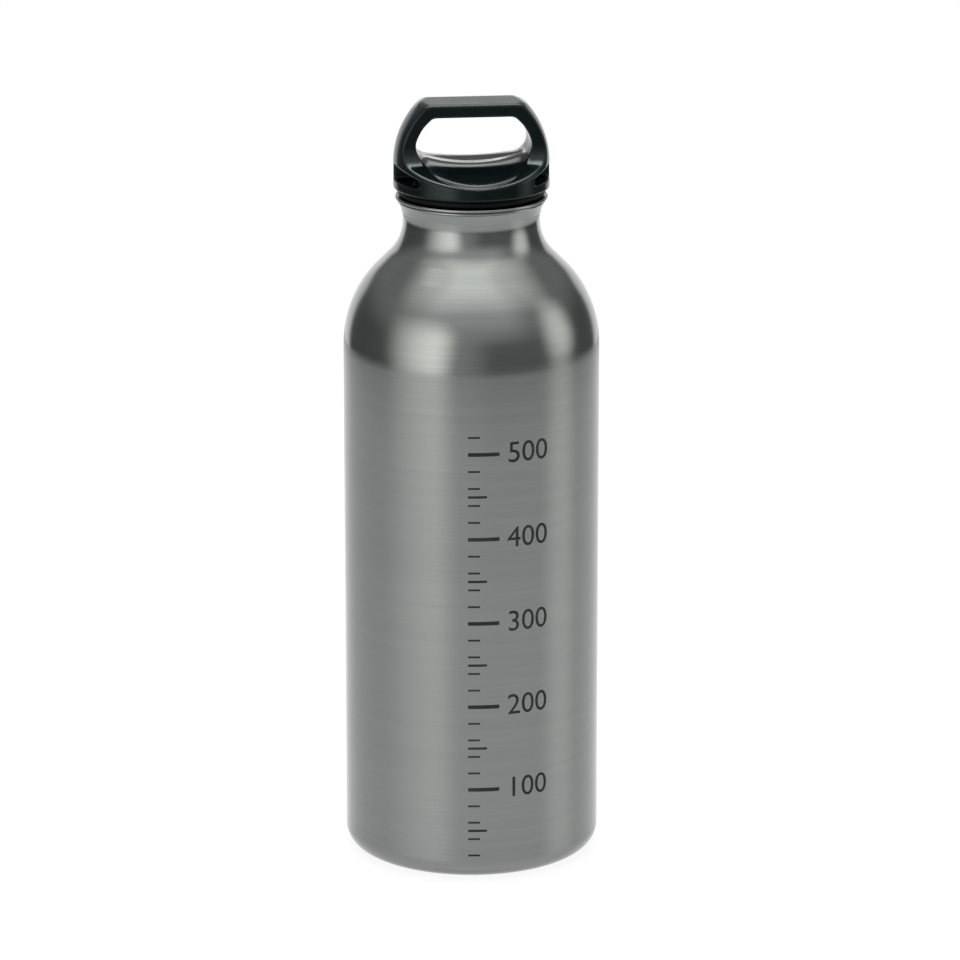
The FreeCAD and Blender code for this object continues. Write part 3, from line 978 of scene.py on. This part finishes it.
@dataclass
class ThreadedStopper:
    """Hollow plug with the outside thread, under the cap."""

    seat: float = 196.761
    bottom: float = 183.861
    core_radius: float = 16.05
    bore_radius: float = 14.6
    shoulder_radius: float = 17.9
    shoulder_bottom: float = 194.661
    web: float = 2.4
    lead_chamfer: float = 0.8
    spigot_outer: float = 14.4
    spigot_inner: float = 12.4
    spigot_top: float = 200.161
    slot_width: float = 3.0
    slot_height: float = 6.0
    slot_margin: float = 2.0
    thread: ScrewThread = ScrewThread(root_radius=15.95, crest_radius=17.05, start=185.3, turns=2.1)
    steps: int = 160

    def build(self, finish: bpy.types.Material) -> None:
        """Model and dress the stopper.

        Args:
            finish: Matt black plastic.
        """
        pen = LathePen(0.0, self.seat)
        for radius, height in (
            (self.spigot_inner, self.seat), (self.spigot_inner, self.spigot_top),
            (self.spigot_outer, self.spigot_top), (self.spigot_outer, self.seat),
            (self.shoulder_radius, self.seat), (self.shoulder_radius, self.shoulder_bottom),
            (self.core_radius, self.shoulder_bottom), (self.core_radius, self.bottom + self.lead_chamfer),
            (self.core_radius - self.lead_chamfer, self.bottom), (self.bore_radius, self.bottom),
            (self.bore_radius, self.seat - self.web), (0.0, self.seat - self.web),
        ):
            pen.line(radius, height)
        mesh = pen.turn(self.steps)
        self.thread.add_to(mesh)
        piece = new_piece("stopper_plug", self._slotted(mesh, finish), finish)
        carry(piece, Body.CAP, ["cap_stopper"])

    def _slotted(self, mesh: bmesh.types.BMesh, finish: bpy.types.Material) -> bmesh.types.BMesh:
        """Cut the vent slot through the back of the wall.

        Args:
            mesh: Mesh of the plug, which is used up.
            finish: Finish of the plug.

        Returns:
            The slotted mesh.
        """
        knife = bmesh.new()
        depth = 2 * (self.core_radius - self.bore_radius) + 2 * self.slot_margin
        size = Vector((self.slot_width, depth, 2 * self.slot_height)) * MM
        middle = Vector((0, self.core_radius, self.bottom)) * MM
        bmesh.ops.create_cube(knife, size=1.0, matrix=Matrix.LocRotScale(middle, None, size))
        block = new_piece("slot_block", knife, finish)
        plug = new_piece("plug_blank", mesh, finish)
        slot = plug.modifiers.new("slot", "BOOLEAN")
        slot.operation = "DIFFERENCE"
        slot.solver = "EXACT"
        slot.use_self = True
        slot.object = block
        slotted = applied(plug)
        discard(block)
        return slotted


@dataclass(frozen=True)
class SoftPanel:
    """Soft lamp that fades towards its edges.

    Its radiance is that of its middle, where 1 is white. The fades are the shares of its size over which it
    fades at left, right, bottom and top; without them it fades all round, over round_reach from its middle.
    """

    name: str
    place: Place
    aim: Place
    size: Span
    radiance: float
    fades: tuple[float, float, float, float] | None = None
    round_reach: Span = (0.05, 0.5)
    tint: Colour = (1.0, 0.985, 0.935)

    def hang(self) -> None:
        """Make the lamp and turn it to its aim."""
        lamp = bpy.data.lights.new(self.name, "AREA")
        lamp.shape = "RECTANGLE"
        lamp.size = self.size[0] * MM
        lamp.size_y = self.size[1] * MM
        lamp.energy = self.radiance * math.pi * lamp.size * lamp.size_y
        lamp.use_nodes = True
        sketch = NodeSketch(lamp.node_tree)
        glow = sketch.add("Emission", {"Color": (*self.tint, 1.0), "Strength": self._level(sketch)})
        sketch.add("OutputLight", {"Surface": glow.outputs[0]})
        panel = bpy.data.objects.new(self.name, lamp)
        panel.location = Vector(self.place) * MM
        panel.rotation_euler = (Vector(self.aim) - Vector(self.place)).to_track_quat("-Z", "Y").to_euler()
        bpy.context.scene.collection.objects.link(panel)

    def _level(self, sketch: NodeSketch) -> bpy.types.NodeSocket:
        """Find the share of the full brightness at each spot.

        Args:
            sketch: Sketch of the lamp's nodes.

        Returns:
            The share, from 0 to 1.
        """
        spot = sketch.add("NewGeometry").outputs["Parametric"]
        if self.fades is None:
            offset = sketch.vector("SUBTRACT", spot, (0.5, 0.5, 0.0)).outputs["Vector"]
            return sketch.span(sketch.vector("LENGTH", offset).outputs["Value"], self.round_reach, 1.0, 0.0)
        left, right, bottom, top = self.fades
        across, up = sketch.axes(spot)[:2]
        level = sketch.math("MULTIPLY", sketch.span(across, (0.0, left)),
                            sketch.span(across, (1.0 - right, 1.0), 1.0, 0.0))
        rise = sketch.math("MULTIPLY", sketch.span(up, (0.0, bottom)),
                           sketch.span(up, (1.0 - top, 1.0), 1.0, 0.0))
        return sketch.math("MULTIPLY", level, rise)


PANELS = (
    SoftPanel("overhead_panel", place=(0, -210, 1200), aim=(0, -150, 0), size=(3900, 1880), radiance=1.1),
    SoftPanel("overhead_core", place=(0, 200, 1190), aim=(0, 0, 200), size=(1500, 860), radiance=12.0),
    SoftPanel("rear_panel", place=(200, 890, 846), aim=(0, 0, 200), size=(950, 400), radiance=3.4),
    SoftPanel("rear_strip", place=(60, 1200, 352), aim=(0, 0, 200), size=(900, 120), radiance=1.7,
              fades=(0.2, 0.2, 0.3, 0.3)),
    SoftPanel("left_panel", place=(-1041, -709, 400), aim=(0, 0, 150), size=(2100, 1450), radiance=2.05,
              fades=(0.78, 0.36, 0.135, 0.42)),
    SoftPanel("right_panel", place=(1190, -190, 350), aim=(0, 0, 150), size=(1100, 1700), radiance=1.58),
)


@dataclass
class PaleFloor:
    """Round pale floor that keeps a faint shadow. Mirrored in the object, it grows dimmer towards its rim."""

    radius: float = 690.0
    gap: float = 0.05
    segments: int = 160
    shade: Colour = (0.9, 0.9, 0.9)
    shadow_share: float = 0.12
    glow: float = 1.03
    rim_start: float = 0.79
    rim_drop: float = 0.5
    ior: float = 1.9
    sheen_roughness: float = 0.25

    def build(self) -> None:
        """Lay the floor."""
        mesh = bmesh.new()
        bmesh.ops.create_circle(mesh, cap_ends=True, segments=self.segments, radius=self.radius * MM,
                                matrix=Matrix.Translation((0, 0, -self.gap * MM)))
        material = self._material()
        new_piece("floor", mesh, material)

    def _material(self) -> bpy.types.Material:
        """Build the finish.

        Returns:
            The material.
        """
        material, sketch = new_material("pale_floor")
        rays = sketch.add("LightPath").outputs
        seen = sketch.math("MAXIMUM", rays["Is Camera Ray"], rays["Is Glossy Ray"])
        seen = sketch.math("MAXIMUM", seen, rays["Is Transmission Ray"])
        share = sketch.math("MULTIPLY", seen, 1.0 - self.shadow_share)
        lit = sketch.add("BsdfDiffuse", {"Color": (*self.shade, 1.0)})
        away = sketch.vector("LENGTH", sketch.on_object()).outputs["Value"]
        rim = (self.rim_start * self.radius * MM, self.radius * MM)
        drop = sketch.math("MULTIPLY", sketch.span(away, rim, 0.0, self.rim_drop), rays["Is Glossy Ray"])
        level = sketch.math("MULTIPLY_ADD", drop, -self.glow, self.glow)
        white = sketch.add("Emission", {"Color": WHITE, "Strength": level})
        mixed = sketch.add("MixShader", {0: share, 1: lit.outputs[0], 2: white.outputs[0]})
        fresnel = sketch.add("Fresnel", {"IOR": self.ior}).outputs[0]
        gloss = sketch.math("MULTIPLY", fresnel, rays["Is Glossy Ray"])
        sheen = sketch.add("BsdfGlossy", {"Color": WHITE, "Roughness": self.sheen_roughness})
        polished = sketch.add("MixShader", {0: gloss, 1: mixed.outputs[0], 2: sheen.outputs[0]})
        sketch.add("OutputMaterial", {"Surface": polished.outputs[0]})
        return material


@dataclass
class Surroundings:
    """White for the camera, and for reflections a dim room with a white backdrop behind the object.

    Headings are the cosine of the turn away from a level direction, rises the sine of the angle above level.
    """

    ambient: float = 0.35
    backdrop_way: Place = (0.09, 0.996, 0.0)
    backdrop_heading: Span = (0.74, 0.86)
    backdrop_rise: Span = (0.13, 0.27)
    room: float = 0.16
    front_room: float = 0.3
    room_heading: Span = (-0.8, 0.75)
    floor_dim: float = 0.7
    floor_rise: Span = (-0.21, -0.14)
    front_lift: float = 0.45
    front_heading: Span = (-0.85, -0.35)
    front_rise: Span = (0.15, 0.75)
    side_lift: float = 0.25
    side_rise: Span = (0.1, 0.5)
    glow: float = 0.38
    glow_way: Place = (-0.6, -0.8, 0.0)
    glow_heading: Span = (0.6, 1.0)
    glow_rise: Span = (0.1, 0.5)

    def build(self) -> None:
        """Make the world and give it to the scene."""
        world = bpy.data.worlds.new("studio")
        bpy.context.scene.world = world
        world.use_nodes = True
        sketch = NodeSketch(world.node_tree)
        rays = sketch.add("LightPath").outputs
        unseen = sketch.between(rays["Is Glossy Ray"], self.ambient, self._mirrored(sketch))
        seen = sketch.math("MAXIMUM", rays["Is Camera Ray"], rays["Is Transmission Ray"])
        sky = sketch.add("Background", {"Color": WHITE, "Strength": sketch.between(seen, unseen, 1.0)})
        sketch.add("OutputWorld", {"Surface": sky.outputs[0]})

    def _mirrored(self, sketch: NodeSketch) -> bpy.types.NodeSocket:
        """Find the brightness that the object mirrors in each direction.

        Args:
            sketch: Sketch of the world's nodes.

        Returns:
            The brightness, where 1 is white.
        """
        way = sketch.axes(sketch.add("TexCoord").outputs["Generated"])
        rise = way[2]
        flat = sketch.add("CombineXYZ", {0: way[0], 1: way[1]}).outputs[0]
        level_way = sketch.vector("NORMALIZE", flat).outputs[0]
        heading = sketch.vector("DOT_PRODUCT", level_way, self.backdrop_way).outputs["Value"]
        backdrop = sketch.math("MULTIPLY", sketch.span(heading, self.backdrop_heading),
                               sketch.span(rise, self.backdrop_rise, 1.0, 0.0))
        room = sketch.span(heading, self.room_heading, self.front_room, self.room)
        room = sketch.math("MULTIPLY", room, sketch.span(rise, self.floor_rise, self.floor_dim, 1.0))
        ahead = sketch.math("MULTIPLY", sketch.span(heading, self.front_heading, 1.0, 0.0),
                            sketch.span(rise, self.front_rise))
        room = sketch.math("MULTIPLY_ADD", ahead, self.front_lift, room)
        room = sketch.math("ADD", room, sketch.span(rise, self.side_rise, 0.0, self.side_lift))
        left = sketch.vector("DOT_PRODUCT", level_way, self.glow_way).outputs["Value"]
        glow = sketch.math("MULTIPLY", sketch.span(left, self.glow_heading),
                           sketch.span(rise, self.glow_rise, 1.0, 0.0))
        room = sketch.math("MULTIPLY_ADD", glow, self.glow, room)
        return sketch.between(backdrop, room, 1.0)


@dataclass
class Studio:
    """Floor, surroundings, soft panels and the camera."""

    camera_place: Place = (-164.4, -1487.5, 528.9)
    camera_aim: Place = (2.45, -0.27, 109.7)
    lens: float = 201.5
    sensor: float = 36.0
    sight: float = 20000.0

    def build(self) -> None:
        """Set up floor, surroundings, light and camera."""
        PaleFloor().build()
        Surroundings().build()
        for panel in PANELS:
            panel.hang()
        self._camera()

    def _camera(self) -> None:
        """Look through a long lens from the front, a little to the left and above."""
        data = bpy.data.cameras.new("camera")
        data.lens = self.lens
        data.sensor_width = self.sensor
        data.clip_end = self.sight * MM
        camera = bpy.data.objects.new("camera", data)
        camera.location = Vector(self.camera_place) * MM
        aim = Vector(self.camera_aim) - Vector(self.camera_place)
        camera.rotation_euler = aim.to_track_quat("-Z", "Y").to_euler()
        scene = bpy.context.scene
        scene.collection.objects.link(camera)
        scene.camera = camera
        scene.view_settings.view_transform = "Standard"


def main() -> None:
    """Build the pieces in order, then the studio."""
    logging.basicConfig(level=logging.INFO, format="%(message)s")
    effects = SharedEffects()
    aluminium = LacqueredAluminium().material(effects)
    cap_plastic = CAP_PLASTIC.material(effects)
    stopper_plastic = STOPPER_PLASTIC.material(effects)
    rubber = SEAL_RUBBER.material(effects)
    BottleShell().build(aluminium)
    PrintedScale().build(PrintInk().material(effects))
    MouthSeal().build(rubber)
    LoopCap().build(cap_plastic)
    ThreadedStopper().build(stopper_plastic)
    Studio().build()


if __name__ == "__main__":
    main()
